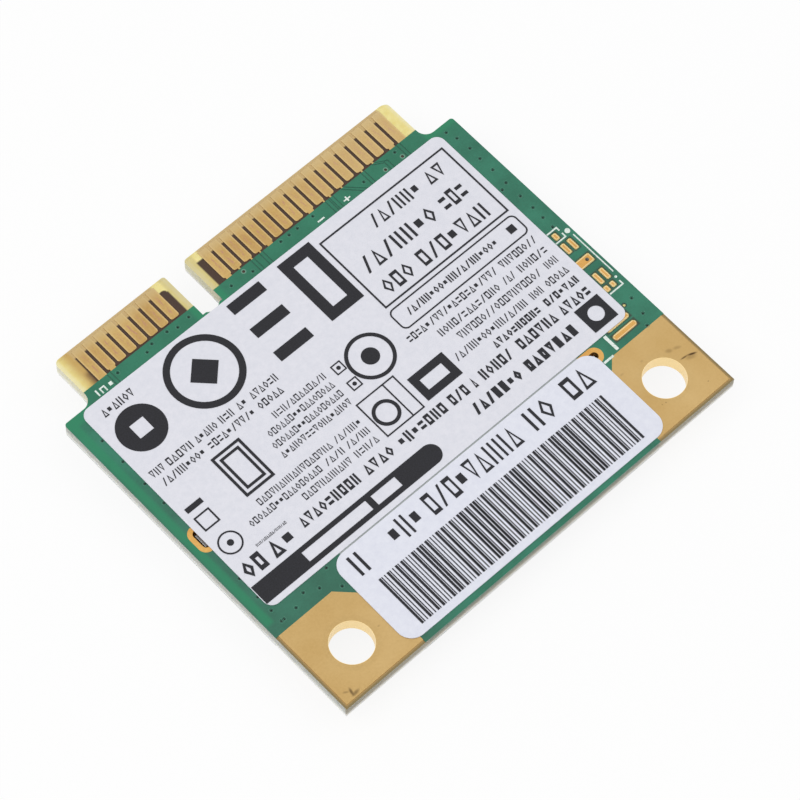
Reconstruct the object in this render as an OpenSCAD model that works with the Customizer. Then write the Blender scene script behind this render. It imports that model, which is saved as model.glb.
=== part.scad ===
// Half-length wireless card for a laptop's edge socket.
// Lengths are in millimetres. The card lies label side up on its shield can.
// X runs along the width, +Y towards the contact tongue, Z = 0 under the shield lid.

/* [Board] */
// Board width
board_w = 30.0; // [29.0:0.1:32.0]
// Board length with its tongue
board_l = 26.8; // [26.6:0.1:28.0]
// Board thickness over both masks
board_t = 1.0; // [0.9:0.05:1.2]
// Solder mask and surface foil thickness
mask_t = 0.04; // [0.03:0.01:0.05]
// Depth of the dips over bare gaps in the copper
dip_t = 0.02; // [0.01:0.005:0.02]
// Outer corner radius at the shoulders
corner_r = 0.2; // [0.1:0.05:0.3]

/* [Contact tongue] */
// Shoulder width at each side of the tongue
shoulder_w = 2.15; // [1.8:0.05:2.2]
// Tongue length beyond the shoulders
tongue_l = 3.45; // [3.3:0.05:3.5]
// Front corner radius at the tongue's sides
tongue_r = 0.45; // [0.3:0.05:0.6]
// Fillet radius between tongue and shoulder
fillet_r = 0.7; // [0.4:0.1:0.8]
// Bevel length at the front edge
bevel_l = 0.25; // [0.2:0.05:0.3]
// Bevel depth at the front edge
bevel_t = 0.15; // [0.1:0.05:0.2]
// Key notch width
notch_w = 1.5; // [1.3:0.1:1.7]
// Contact pitch
pitch = 0.8; // [0.78:0.01:0.82]
// Contact width
contact_w = 0.6; // [0.5:0.05:0.65]
// Contacts in the short row
short_count = 8; // [6:1:8]
// Distance between the rows' end contacts
row_gap = 4.0; // [3.8:0.1:4.2]
// First contact's centre from the tongue's side
first_in = 1.45; // [1.25:0.05:1.55]
// Last contact's centre from the other side, at least
last_in = 1.05; // [0.9:0.05:1.2]
// Contact's rounded end, measured back from the front edge
contact_back = 2.53; // [2.4:0.05:2.55]
// Mask's edge, measured back from the front edge
mask_back = 2.65; // [2.65:0.05:2.8]

/* [Screw corners] */
// Screw hole diameter after plating
hole_d = 2.6; // [2.4:0.1:2.8]
// Hole centre from the side edge
hole_side = 2.9; // [2.8:0.1:3.1]
// Hole centre from the rear edge
hole_edge = 2.7; // [2.6:0.1:3.1]
// Plating thickness in holes and slots
plating = 0.05; // [0.04:0.01:0.08]
// Width of the plating's collar round a screw hole
hole_ring = 0.35; // [0.25:0.05:0.5]
// Ground pad width
pad_w = 5.7; // [5.6:0.1:5.9]
// Ground pad length
pad_l = 5.5; // [5.4:0.1:5.8]
// Ground pad chamfer
pad_c = 1.75; // [1.4:0.05:1.8]
// Bare margin between pad and board edge
pad_gap = 0.2; // [0.1:0.05:0.3]

/* [Shield can] */
// Shield height below the board
shield_h = 1.6; // [1.5:0.05:2.2]
// Board beside the shield frame, at the key's side
shield_left = 0.9; // [0.7:0.05:1.1]
// Board beside the shield frame, at the other side
shield_right = 2.1; // [1.9:0.05:2.4]
// Board behind the shield frame
shield_rear = 6.3; // [6.1:0.1:6.4]
// Shield frame length along Y
shield_l = 16.2; // [16.0:0.1:16.3]
// Shield wall thickness
wall_t = 0.2; // [0.15:0.01:0.22]
// Lid sheet thickness
lid_t = 0.15; // [0.12:0.01:0.18]
// Lid skirt height
skirt_h = 0.8; // [0.5:0.1:1.0]
// Clearance between skirt and frame
skirt_gap = 0.03; // [0.02:0.01:0.05]
// Plated slot length
slot_l = 1.26; // [1.2:0.02:1.4]
// Plated slot width
slot_w = 0.5; // [0.45:0.05:0.6]
// Width of the ring round a slot
slot_ring = 0.3; // [0.2:0.05:0.35]
// Side slot's centre from the frame's rear
slot_up = 6.6; // [5.6:0.1:7.6]
// Rear slot's centre from the frame's far side
slot_in = 3.16; // [2.9:0.02:3.4]
// Play at each end of a tab in its slot
tab_play = 0.18; // [0.12:0.02:0.24]

/* [Labels] */
// Label thickness
label_t = 0.08; // [0.05:0.01:0.12]
// Ink thickness
ink_t = 0.02; // [0.01:0.005:0.03]
// Board beside the main label, at the key's side
label_left = 1.0; // [0.9:0.02:1.4]
// Board beside the main label, at the other side
label_right = 1.44; // [1.3:0.02:1.7]
// Board behind the main label
label_rear = 7.06; // [6.8:0.02:7.2]
// Main label length
label_l = 16.1; // [15.6:0.1:16.2]
// Main label corner radius
label_r = 0.6; // [0.4:0.1:1.0]
// Code label from the screw hole at the key's side
code_left = 0.95; // [0.5:0.05:1.2]
// Code label from the other screw hole
code_right = 0.65; // [0.5:0.05:1.2]
// Gap between the two labels
code_gap = 0.1; // [0.06:0.02:0.3]
// Code label length
code_l = 6.6; // [6.2:0.1:6.7]
// Code label corner radius
code_r = 1.0; // [0.6:0.1:1.3]
// Turn of both labels as they were stuck on, degrees
label_turn = -0.35; // [-0.5:0.05:0]

/* [Coax sockets] */
// Socket base size
socket_b = 2.6; // [2.4:0.1:2.8]
// Socket ring diameter
socket_d = 2.0; // [1.8:0.1:2.0]
// Socket height
socket_h = 1.25; // [1.1:0.05:1.3]
// Socket centre from the corner pad
socket_in = 3.6; // [3.2:0.1:4.4]
// Socket centre from the rear edge
socket_rear = 2.6; // [2.3:0.1:3.0]

/* [Parts under the shield] */
// Radio chip size
radio_w = 9.0; // [8.0:0.5:9.5]
// Radio chip height
radio_t = 0.85; // [0.7:0.05:1.0]
// Bluetooth chip size
bluetooth_w = 6.0; // [5.0:0.5:6.5]
// Bluetooth chip height
bluetooth_t = 0.8; // [0.7:0.05:1.0]
// Flash chip length along X
flash_w = 4.9; // [4.0:0.1:5.2]
// Flash chip length along Y without its leads
flash_l = 3.2; // [2.8:0.1:3.9]
// Flash chip height
flash_t = 0.9; // [0.7:0.05:1.0]
// Flash lead length
lead_l = 0.6; // [0.4:0.05:0.7]
// Crystal length along X
crystal_w = 2.5; // [2.0:0.1:2.7]
// Crystal length along Y
crystal_l = 3.2; // [2.5:0.1:3.5]
// Crystal height, base and lid
crystal_t = 0.7; // [0.5:0.05:0.9]
// Coil size
coil_w = 2.0; // [1.6:0.1:2.2]
// Coil height
coil_t = 1.0; // [0.8:0.05:1.1]
// Filter length along X
filter_w = 2.0; // [1.6:0.1:2.2]
// Filter length along Y
filter_l = 1.25; // [1.0:0.05:1.4]
// Filter height
filter_t = 0.6; // [0.5:0.05:0.8]
// Small part length
part_l = 1.0; // [0.6:0.1:1.2]
// Small part width
part_w = 0.5; // [0.3:0.05:0.6]
// Capacitor height
cap_t = 0.5; // [0.3:0.05:0.6]
// Resistor height
res_t = 0.35; // [0.25:0.05:0.5]

/* [Hidden] */
$fn = 48;
e = 0.01;
core_t = board_t - 2 * mask_t;
z_parts = shield_h;
z_core = z_parts + mask_t;
z_mask = z_core + core_t;
z_label = z_parts + board_t;
z_ink = z_label + label_t;
y0 = -board_l / 2;
y1 = board_l / 2;
ys = y1 - tongue_l;
xb = board_w / 2;
xt = xb - shoulder_w;
hole_x = xb - hole_side;
hole_y = y0 + hole_edge;
first_x = -xt + first_in;
short_last = first_x + (short_count - 1) * pitch;
long_first = short_last + row_gap;
long_count = floor((xt - last_in - long_first) / pitch + 0.01) + 1;
notch_x = (short_last + long_first) / 2;
notch_y = ys - 0.2;
mask_y = y1 - mask_back;
pad_x = xb - pad_gap;
pad_y = y0 + pad_gap;
shield_x0 = -xb + shield_left;
shield_y0 = y0 + shield_rear;
shield_x1 = xb - shield_right;
shield_y1 = shield_y0 + shield_l;
shield_w = shield_x1 - shield_x0;
slot_a = [shield_x0 + wall_t / 2, shield_y0 + slot_up];
slot_b = [shield_x1 - slot_in, shield_y0 + wall_t / 2];
tab_w = slot_l - 2 * tab_play;
label_w = board_w - label_left - label_right;
label_x = -xb + label_left + label_w / 2;
label_y = y0 + label_rear + label_l / 2;
code_x0 = -hole_x + hole_d / 2 + code_left;
code_w = hole_x - hole_d / 2 - code_right - code_x0;
code_x = code_x0 + code_w / 2;
code_y = y0 + label_rear - code_gap - code_l / 2;
socket_x = pad_x - pad_w - socket_in;
socket_y = y0 + socket_rear;
skirt = skirt_gap + lid_t;
socket_t = 0.28 * socket_h;
silk_gap = 0.05;

// Flat shapes

module box2(x0, ya, x1, yb) {
    translate([x0, ya]) square([x1 - x0, yb - ya]);
}

module round2(w, l, r) {
    square([w, l - 2 * r], center = true);
    square([w - 2 * r, l], center = true);
    for (x = [-1, 1], y = [-1, 1]) translate([x * (w / 2 - r), y * (l / 2 - r)]) circle(r);
}

module obround2(w, l) {
    if (l > w) {
        square([w, l - w], center = true);
        for (y = [-1, 1]) translate([0, y * (l - w) / 2]) circle(w / 2);
    } else {
        square([w - l, l], center = true);
        for (x = [-1, 1]) translate([x * (w - l) / 2, 0]) circle(l / 2);
    }
}

module frame2(x0, ya, x1, yb, t) {
    difference() {
        box2(x0, ya, x1, yb);
        box2(x0 + t, ya + t, x1 - t, yb - t);
    }
}

module ring2(x, y, ro, ri) {
    translate([x, y]) difference() {
        circle(ro);
        circle(ri);
    }
}

module line2(x0, ya, x1, yb, t) {
    translate([x0, ya]) rotate(atan2(yb - ya, x1 - x0)) translate([0, -t / 2])
        square([norm([x1 - x0, yb - ya]), t]);
}

// Board

module tongue_part2(x0, x1, ra, rb) {
    box2(x0, ys - 1, x1, y1 - max(ra, rb));
    box2(x0 + ra, y1 - max(ra, rb) - e, x1 - rb, y1);
    translate([x0 + ra, y1 - ra]) circle(ra);
    translate([x1 - rb, y1 - rb]) circle(rb);
    box2(x0, y1 - max(ra, rb) - e, x0 + ra, y1 - ra);
    box2(x1 - rb, y1 - max(ra, rb) - e, x1, y1 - rb);
}

module outline2() {
    difference() {
        union() {
            box2(-xb, y0, xb, ys - corner_r);
            box2(-xb + corner_r, ys - corner_r - e, xb - corner_r, ys);
            for (s = [-1, 1]) {
                translate([s * (xb - corner_r), ys - corner_r]) circle(corner_r);
                difference() {
                    translate([s * (xt + fillet_r / 2 - e / 2), ys + fillet_r / 2 - e / 2])
                        square(fillet_r + e, center = true);
                    translate([s * (xt + fillet_r), ys + fillet_r]) circle(fillet_r);
                }
            }
            tongue_part2(-xt, notch_x - notch_w / 2, tongue_r, 0.15);
            tongue_part2(notch_x + notch_w / 2, xt, 0.3, tongue_r);
        }
        box2(notch_x - notch_w / 2, notch_y + notch_w / 2, notch_x + notch_w / 2, y1 + 1);
        translate([notch_x, notch_y + notch_w / 2]) circle(notch_w / 2);
    }
}

module slots2(grow) {
    translate(slot_a) obround2(slot_w + 2 * grow, slot_l + 2 * grow);
    translate(slot_b) obround2(slot_l + 2 * grow, slot_w + 2 * grow);
}

module screw_holes2(r) {
    for (s = [-1, 1]) translate([s * hole_x, hole_y]) circle(r);
}

module laminate() {
    color("#c9b86a") difference() {
        translate([0, 0, z_core]) linear_extrude(core_t) difference() {
            outline2();
            screw_holes2(hole_d / 2 + plating);
            slots2(plating);
            translate(via_pad_at) circle(0.12);
        }
        // the front edge is bevelled on both faces
        for (z = [z_core, z_mask]) translate([-xb, y1, z]) rotate([90, 0, 90])
            linear_extrude(board_w) polygon([[0, bevel_t], [-bevel_l, 0], [0, -bevel_t], [e, 0]]);
    }
}

// Corner pads, open to the board's edges so a bare margin is left round them

module corner_pad2(s, out) {
    xi = pad_x - pad_w;
    xo = pad_x + out;
    yb = pad_y - out;
    yt = pad_y + pad_l;
    polygon([[s * xo, yb], [s * xi, yb], [s * xi, yt - pad_c], [s * (xi + pad_c), yt], [s * xo, yt]]);
}

module corner_pads2(out) {
    corner_pad2(-1, out);
    corner_pad2(1, out);
}

module corner_foil() {
    linear_extrude(mask_t) difference() {
        corner_pads2(0);
        screw_holes2(hole_d / 2 + hole_ring);
    }
}

module ground_pads_label_side() {
    color("#d2ab6d") translate([0, 0, z_mask]) corner_foil();
}

module ground_pads_parts_side() {
    color("#d2ab6d") translate([0, 0, z_parts]) corner_foil();
}

// A barrel through the board, with a collar flush in each face's pad
module hole_plating() {
    color("#e2bd7c") difference() {
        union() {
            translate([0, 0, z_parts]) linear_extrude(board_t) screw_holes2(hole_d / 2 + plating);
            for (z = [z_parts, z_mask]) translate([0, 0, z])
                linear_extrude(mask_t) screw_holes2(hole_d / 2 + hole_ring);
        }
        translate([0, 0, z_parts - 1]) linear_extrude(board_t + 2) screw_holes2(hole_d / 2);
    }
}

module slot_plating() {
    color("#d9a85f") {
        translate([0, 0, z_parts]) linear_extrude(board_t) difference() {
            slots2(plating);
            slots2(0);
        }
        translate([0, 0, z_mask]) linear_extrude(mask_t) difference() {
            slots2(slot_ring);
            slots2(plating / 2);
        }
    }
}

// Small pads on the label side: x, y, size x, size y. The last one holds a via.

strip_x = xb - 1.15;
strip_y = y0 + 12.5;
small_pads = [[0.08, 0.97, 0.26, 0.4], [-0.02, 0, 0.24, 0.7], [0.5, -0.02, 0.24, 0.74],
    [-0.02, -2.65, 0.24, 0.74], [0.5, -2.65, 0.24, 0.74], [-0.12, -3.46, 0.25, 0.34],
    [0.36, -3.46, 0.24, 0.32]];
via_pad_at = [strip_x + 0.38, strip_y - 1.32];

module small_pads2(grow) {
    for (p = small_pads) translate([strip_x + p[0], strip_y + p[1]])
        round2(p[2] + 2 * grow, p[3] + 2 * grow, 0.1);
    translate([via_pad_at[0] - 0.24, via_pad_at[1]]) round2(1.12 + 2 * grow, 0.54 + 2 * grow, 0.12);
}

module probe_pads() {
    color("#d9a85f") translate([0, 0, z_mask]) linear_extrude(mask_t) difference() {
        small_pads2(0);
        translate(via_pad_at) circle(0.12);
    }
}

long_at = [xb - 2.4, y0 + 6.42];

module long_pads2(grow) {
    translate(long_at) obround2(1.7 + 2 * grow, 0.34 + 2 * grow);
    translate([long_at[0], long_at[1] + 0.68]) obround2(1.7 + 2 * grow, 0.34 + 2 * grow);
}

module long_pads() {
    color("#d9a85f") translate([0, 0, z_mask]) linear_extrude(mask_t) long_pads2(0);
}

ring_via_at = [[long_first + 0.85, mask_y - 0.27], [xb - 5.3, mask_y - 0.8],
    [xb - 3.95, mask_y - 0.8], [xb - 1.3, y0 + 7.6]];

module ring_vias() {
    color("#7fa58c") translate([0, 0, z_mask]) linear_extrude(mask_t)
        for (p = ring_via_at) ring2(p[0], p[1], 0.16, 0.09);
}

// Solder mask

edge_vias = [[0.95, 0.55], [0.75, 1.25], [0.65, 2.25], [0.7, 3.15], [0.67, 4.2], [0.7, 5.35],
    [1.2, 5.55], [0.7, 6.55], [0.7, 7.6], [0.73, 8.47], [0.75, 9.3], [0.65, 15.7], [0.87, 16.85],
    [1.25, 17.57]];
left_vias = [2.2, 3.95, 5.8, 7.4, 13.65, 15.15, 16.25, 17.1];
row_vias = [[1.1, 17.1], [2.05, 17.05], [2.95, 16.65], [3.8, 17.05], [4.9, 16.4], [4.8, 17.8]];
// Vias and traces behind the contacts: distances from the key notch and back from the mask's edge
tongue_vias = [[-6.8, 0.35], [-4.7, 0.48], [-4.15, 0.25], [-3, 0.25], [-2.35, 0.45],
    [-1.45, 0.37], [1.7, 0.5], [3.25, 0.62], [5.75, 0.25], [6.4, 0.25], [7.05, 0.25],
    [8.25, 0.25], [12, 0.55], [14.7, 0.3]];
traces = [[3.75, 0, 3.75, 1.2], [4.42, 0, 4.42, 1.2], [9.55, 0, 9.55, 1.2], [9.9, 0, 9.9, 1.2],
    [10.8, 0.05, 11.8, 1.05], [12.4, 0, 12.4, 1.2], [13.25, 0.05, 13.85, 0.4],
    [13.9, 0.35, 13.9, 1.2], [15.2, 0, 15.2, 1.2], [-7.2, 0.05, -7.2, 1.2]];

module dips2() {
    for (p = edge_vias) translate([xb - p[0], ys - p[1]]) circle(0.11, $fn = 24);
    for (y = left_vias) translate([-xb + 0.93, ys - y]) circle(0.11, $fn = 24);
    for (p = row_vias) translate([-xb + p[0], ys - p[1]]) circle(0.1, $fn = 24);
    translate([notch_x, mask_y]) {
        for (p = tongue_vias) translate([p[0], -p[1]]) circle(0.1, $fn = 24);
        for (t = traces, s = [-0.12, 0.12]) line2(t[0] + s, -t[1], t[2] + s, -t[3], 0.07);
    }
}

module mask2() {
    difference() {
        outline2();
        box2(-xb, mask_y, xb, y1 + 1);
        corner_pads2(1);
    }
}

module label_mask2() {
    difference() {
        mask2();
        slots2(slot_ring);
        small_pads2(0.05);
        long_pads2(0.05);
        for (p = ring_via_at) translate(p) circle(0.16);
    }
}

module mask_label_side() {
    color("#3b7d63") translate([0, 0, z_mask]) {
        linear_extrude(mask_t - dip_t) label_mask2();
        translate([0, 0, mask_t - dip_t]) linear_extrude(dip_t) difference() {
            label_mask2();
            dips2();
        }
    }
}

module mask_parts_side() {
    color("#3b7d63") translate([0, 0, z_parts]) linear_extrude(mask_t) difference() {
        mask2();
        track2();
        slots2(plating);
        socket_pads2();
        test_pads2();
    }
}

// Contacts. A neck joins a contact to its trace: offset, width. Zero width leaves none.

short_necks = [[0, contact_w], [0, 0.4], [0, 0], [0, 0], [0, 0], [0, 0], [0, 0], [0, 0]];
long_necks = [[0, 0.4], [0, 0.12], [0.15, 0.1], [0.02, 0.1], [0, 0.38], [0, 0], [0, 0], [0, 0],
    [0, 0.38], [0.2, 0.1], [-0.1, 0.12], [0, 0.1], [0, 0], [0, 0.1], [0.05, 0.12], [0, 0],
    [0, 0.4], [0, contact_w]];

module contact2(x, neck) {
    h = contact_w / 2;
    ya = y1 - contact_back;
    yb = y1 - bevel_l;
    c = 0.12;
    d = c * 0.3;
    polygon([[x - h, yb], [x - h, ya + c], [x - h + d, ya + d], [x - h + c, ya],
        [x + h - c, ya], [x + h - d, ya + d], [x + h, ya + c], [x + h, yb]]);
    if (neck[1] > 0) box2(x + neck[0] - neck[1] / 2, mask_y, x + neck[0] + neck[1] / 2, ya + c);
}

module contacts() {
    linear_extrude(mask_t) {
        for (i = [0:short_count - 1])
            contact2(first_x + i * pitch, short_necks[i % len(short_necks)]);
        for (i = [0:long_count - 1])
            contact2(long_first + i * pitch, long_necks[i % len(long_necks)]);
    }
}

module contacts_label_side() {
    color("#cfa76b") translate([0, 0, z_mask]) contacts();
}

module contacts_parts_side() {
    color("#cfa76b") translate([0, 0, z_parts]) contacts();
}

// White ink on the mask

module silk2() {
    // ticks beside the contacts
    translate([-xt, mask_y]) {
        box2(0.5, -0.8, 0.6, -0.35);
        box2(0.77, -0.8, 0.86, -0.4);
        box2(0.77, -0.49, 1.15, -0.4);
        box2(1.06, -0.8, 1.15, -0.4);
        box2(1.4, -0.7, 1.63, -0.47);
    }
    // minus and plus beside the paired traces
    translate([notch_x, mask_y]) {
        box2(8.2, -0.8, 8.7, -0.7);
        box2(10.25, -0.78, 10.75, -0.69);
        box2(10.46, -0.9, 10.55, -0.55);
    }
    // brackets, bars and dots round the small pads
    translate([strip_x, strip_y]) {
        box2(-0.3, 1.33, 0.56, 1.42);
        box2(0.47, 1.12, 0.56, 1.42);
        box2(0.47, 0.57, 0.56, 0.9);
        box2(-0.3, 0.55, 0.56, 0.64);
        translate([0.85, 0.8]) circle(0.17);
        box2(0.9, -2.9, 0.98, 0.4);
        box2(-0.25, -3.9, 0.83, -3.81);
        box2(0.74, -3.9, 0.83, -3.55);
        translate([0.8, -3.25]) circle(0.08, $fn = 24);
    }
    // bars by the slot and the corner pad
    translate(long_at) {
        box2(-1.28, -0.62, -1.08, 0.5);
        box2(-2.4, -0.8, -1.65, -0.66);
    }
}

// The ink stops short of the labels' edges
module silk_label_side() {
    color("#e8f2ec") translate([0, 0, z_label]) linear_extrude(ink_t) difference() {
        silk2();
        main_film2(silk_gap);
        code_film2(silk_gap);
    }
}

module silk_parts_side() {
    color("#e8f2ec") translate([0, 0, z_parts - ink_t]) linear_extrude(ink_t) {
        for (s = [-1, 1]) {
            translate([s * socket_x, socket_y]) difference() {
                square([socket_b + 1.5, socket_b + 0.9], center = true);
                square([socket_b + 1.3, socket_b + 0.7], center = true);
            }
            translate([s * (socket_x - socket_b / 2 - 1), socket_y + 1.5]) circle(0.15);
        }
        for (y = [-1, 1]) translate([0, socket_y + y]) square([1.6, 0.1], center = true);
    }
}

// Labels. Print is laid out for the drawn label size and stretched with the label.

module on_label() {
    translate([label_x, label_y]) rotate(label_turn) scale([label_w / 27.4, label_l / 16.1])
        translate([0.14, -1.71]) children();
}

module on_code() {
    translate([code_x, code_y]) rotate(label_turn) scale([code_w / 20, code_l / 6.6])
        translate([-0.15, 9.74]) children();
}

module main_film2(grow) {
    translate([label_x, label_y]) rotate(label_turn)
        round2(label_w + 2 * grow, label_l + 2 * grow, label_r + grow);
}

module code_film2(grow) {
    translate([code_x, code_y]) rotate(label_turn)
        round2(code_w + 2 * grow, code_l + 2 * grow, code_r + grow);
}

module main_label() {
    color("#dddee6") translate([0, 0, z_label]) linear_extrude(label_t) main_film2(0);
}

module label_frames() {
    color("#2f2e36") translate([0, 0, z_ink]) linear_extrude(ink_t) on_label() {
        frame2(3.45, 3.2, 13.1, 8.9, 0.11);
        difference() {
            translate([8.2, 2.17]) round2(9.8, 1.56, 0.4);
            translate([8.2, 2.17]) round2(9.62, 1.38, 0.32);
        }
        frame2(-2, -2.9, 0.85, -0.2, 0.09);
        box2(-0.04, -2.85, 0.05, -0.25);
        for (y = [0.85, 2.2]) {
            frame2(-1.45, y - 0.35, -0.75, y + 0.35, 0.08);
            translate([-1.1, y]) circle(0.13, $fn = 24);
        }
        frame2(-10.3, -0.4, -8.2, 2.7, 0.17);
        frame2(-9.95, -0.05, -8.55, 2.35, 0.17);
        frame2(-13.4, -0.45, -12.3, 0.6, 0.1);
        box2(-13.4, 1.02, -12.25, 1.36);
    }
}

module label_marks() {
    color("#2f2e36") translate([0, 0, z_ink]) linear_extrude(ink_t) on_label() {
        difference() {
            translate([-11.8, 6.8]) circle(1.5);
            box2(-12.3, 6.3, -11.3, 7.3);
        }
        ring2(-6.85, 7.1, 2.37, 1.95);
        translate([-6.85, 7.1]) rotate(45) square(1.5, center = true);
        for (y = [4.65, 6.65, 8.65]) box2(-3.2, y, -0.75, y + 0.75);
        frame2(0.65, 4.65, 3.1, 9.4, 0.68);
        ring2(0.75, 1.55, 1.5, 1.27);
        translate([0.75, 1.55]) circle(0.55);
        ring2(-12.82, -1.85, 0.73, 0.63);
        translate([-12.82, -1.85]) circle(0.2);
        ring2(-1, -1.7, 0.84, 0.62);
        frame2(1.25, -2.75, 3.9, -0.95, 0.5);
        difference() {
            box2(11.25, -5.95, 13.05, -4.15);
            translate([12.15, -5.05]) circle(0.5);
        }
        box2(12.1, 1.95, 12.6, 2.45);
    }
}

// Rows of print as plain blocks: low y, high y, then pairs of word ends
rows = [[7.45, 8.35, 6.6, 10.4, 10.9, 12.35], [5.5, 6.6, 4.25, 9.95, 10.4, 12.35],
    [3.7, 4.75, 4.25, 6.5, 7, 12.35], [1.95, 2.45, 4.2, 11.2], [0.62, 1.12, 3, 9.9, 10.2, 13],
    [-0.28, 0.22, 4.6, 9.3, 9.6, 10.5, 10.8, 13], [-1.15, -0.65, 5.3, 11.7, 12.1, 13],
    [-2.05, -1.55, 4.2, 9.75, 10.1, 11, 11.3, 13], [-2.9, -2.4, 6.4, 10, 10.4, 13],
    [-3.95, -3.25, -9.2, -4.8, -4.4, -2.2], [-3.95, -3.25, -1.8, 1.8, 2.1, 3.5, 3.8, 4.1],
    [-3.95, -3.25, 4.5, 6.9, 7.4, 10.4, 10.7, 13], [-5.3, -4.55, 2.7, 6.4, 6.8, 10.7],
    [8.6, 9.15, -12.9, -10.6], [3.92, 4.42, -13.4, -12.4, -12.2, -10.3, -10.1, -8.5],
    [3.92, 4.42, -8.3, -7.3, -7, -6.3, -6, -4], [3.12, 3.62, -13.2, -10.1, -9.8, -6.4, -6.1, -4.3],
    [2.17, 2.62, -5.85, -1.95], [1.45, 1.9, -6.85, -1.95], [0.72, 1.17, -7.15, -1.95],
    [0, 0.45, -7.15, -1.95], [-1.3, -0.85, -10.1, -4.6, -4.4, -2.4],
    [-2, -1.55, -11.3, -6, -5.7, -4.3, -4.1, -2.4], [-2.75, -2.3, -8, -4.4, -4.1, -2.4],
    [-3.05, -2.87, -11.9, -9.7], [-4.3, -3.2, -13.5, -11.9, -11.6, -9.7]];

module label_rows() {
    color("#4b4a52") translate([0, 0, z_ink]) linear_extrude(ink_t) on_label()
        for (r = rows, i = [2:2:len(r) - 2]) box2(r[i], r[0], r[i + 1], r[1]);
}

module label_bar() {
    color("#2f2e36") translate([0, 0, z_ink]) linear_extrude(ink_t) on_label() difference() {
        union() {
            box2(-13.8, -5.97, -0.95, -4.65);
            translate([-0.95, -5.31]) circle(0.66);
        }
        box2(-10.35, -5.65, -5.6, -4.95);
        box2(-5.2, -5.65, -3.4, -4.95);
    }
}

module code_label() {
    color("#e0e2ec") translate([0, 0, z_label]) linear_extrude(label_t) code_film2(0);
}

module code_marks() {
    color("#2f2e36") translate([0, 0, z_ink]) linear_extrude(ink_t) on_code()
        for (w = [[-9, 2], [-6.3, 4], [-3.5, 10], [4.3, 3], [7.2, 3]], i = [0:w[1] - 1])
            frame2(w[0] + i * 0.74, -8.2, w[0] + i * 0.74 + 0.54, -6.9, 0.12);
}

// Bar widths come from a counting rule
groups = 17;
function bar_w(g, k) = (g * 5 + k * 3) % 7 < 3 ? 0.15 : 0.06;

module code_bars() {
    color("#26252c") translate([0, 0, z_ink]) linear_extrude(ink_t) on_code() {
        for (g = [0:groups - 1], k = [0:4])
            translate([-8.5 + g * 1.01 + k * 0.2, -12.55]) square([bar_w(g, k), 3.55]);
    }
}

// Shield can on the parts side

module track2() {
    difference() {
        box2(shield_x0 - 0.3, shield_y0 - 0.3, shield_x1 + 0.3, shield_y1 + 0.3);
        box2(shield_x0 + 0.5, shield_y0 + 0.5, shield_x1 - 0.5, shield_y1 - 0.5);
    }
}

module shield_track() {
    color("#d2ab6d") translate([0, 0, z_parts]) linear_extrude(mask_t) difference() {
        track2();
        slots2(plating);
        translate([notch_x, notch_y + notch_w / 2]) circle(notch_w / 2);
    }
}

module frame_band2(d) {
    difference() {
        box2(shield_x0, shield_y0, shield_x1, shield_y1);
        box2(shield_x0 + d, shield_y0 + d, shield_x1 - d, shield_y1 - d);
    }
}

module shield_frame() {
    color("#b9bcbe") {
        translate([0, 0, lid_t]) linear_extrude(wall_t) frame_band2(0.9);
        translate([0, 0, lid_t]) linear_extrude(shield_h - lid_t) frame_band2(wall_t);
        // tabs reach up into the plated slots
        translate([slot_a[0] - wall_t / 2, slot_a[1] - tab_w / 2, z_parts - 0.3])
            cube([wall_t, tab_w, 0.3 + board_t * 0.8]);
        translate([slot_b[0] - tab_w / 2, slot_b[1] - wall_t / 2, z_parts - 0.3])
            cube([tab_w, wall_t, 0.3 + board_t * 0.8]);
    }
}

module shield_lid() {
    color("#c6c9cb") difference() {
        linear_extrude(lid_t + skirt_h)
            translate([(shield_x0 + shield_x1) / 2, (shield_y0 + shield_y1) / 2])
                round2(shield_w + 2 * skirt, shield_l + 2 * skirt, 0.3);
        translate([shield_x0 - skirt_gap, shield_y0 - skirt_gap, lid_t])
            cube([shield_w + 2 * skirt_gap, shield_l + 2 * skirt_gap, skirt_h + 1]);
        // slits let the skirt's fingers spring
        for (i = [1:5], y = [shield_y0 - skirt - 0.1, shield_y1 - 0.1])
            translate([shield_x0 + i * shield_w / 6 - 0.2, y, lid_t + 0.15]) cube([0.4, skirt + 0.2, 2]);
        for (i = [1:3], x = [shield_x0 - skirt - 0.1, shield_x1 - 0.1])
            translate([x, shield_y0 + i * shield_l / 4 - 0.2, lid_t + 0.15]) cube([skirt + 0.2, 0.4, 2]);
    }
}

// Parts under the shield. Columns and rows share the free room inside the frame's walls evenly.

inner_x = shield_x0 + wall_t;
inner_y = shield_y0 + wall_t;
inner_l = shield_l - 2 * wall_t;
gap_x = (shield_w - 2 * wall_t - 2 * crystal_w - radio_w - part_w - bluetooth_w) / 6;
left_x = inner_x + gap_x + crystal_w / 2;
radio_x = left_x + crystal_w / 2 + gap_x + radio_w / 2;
mid_x = radio_x + radio_w / 2 + gap_x + part_w / 2;
bluetooth_x = mid_x + part_w / 2 + gap_x + bluetooth_w / 2;
right_x = bluetooth_x + bluetooth_w / 2 + gap_x + crystal_w / 2;
radio_gap = (inner_l - filter_l - part_l - radio_w) / 4;
filter_y = inner_y + radio_gap + filter_l / 2;
row_y = filter_y + filter_l / 2 + radio_gap + part_l / 2;
radio_y = row_y + part_l / 2 + radio_gap + radio_w / 2;
flash_gap = (inner_l - flash_l - 2 * lead_l - bluetooth_w) / 3;
flash_y = inner_y + flash_gap + lead_l + flash_l / 2;
bluetooth_y = flash_y + flash_l / 2 + lead_l + flash_gap + bluetooth_w / 2;
side_gap = (inner_l - 2 * coil_w - crystal_l) / 4;
coil_y = inner_y + side_gap + coil_w / 2;
crystal_y = coil_y + 1.5 * coil_w + 2 * side_gap + crystal_l / 2;

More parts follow.
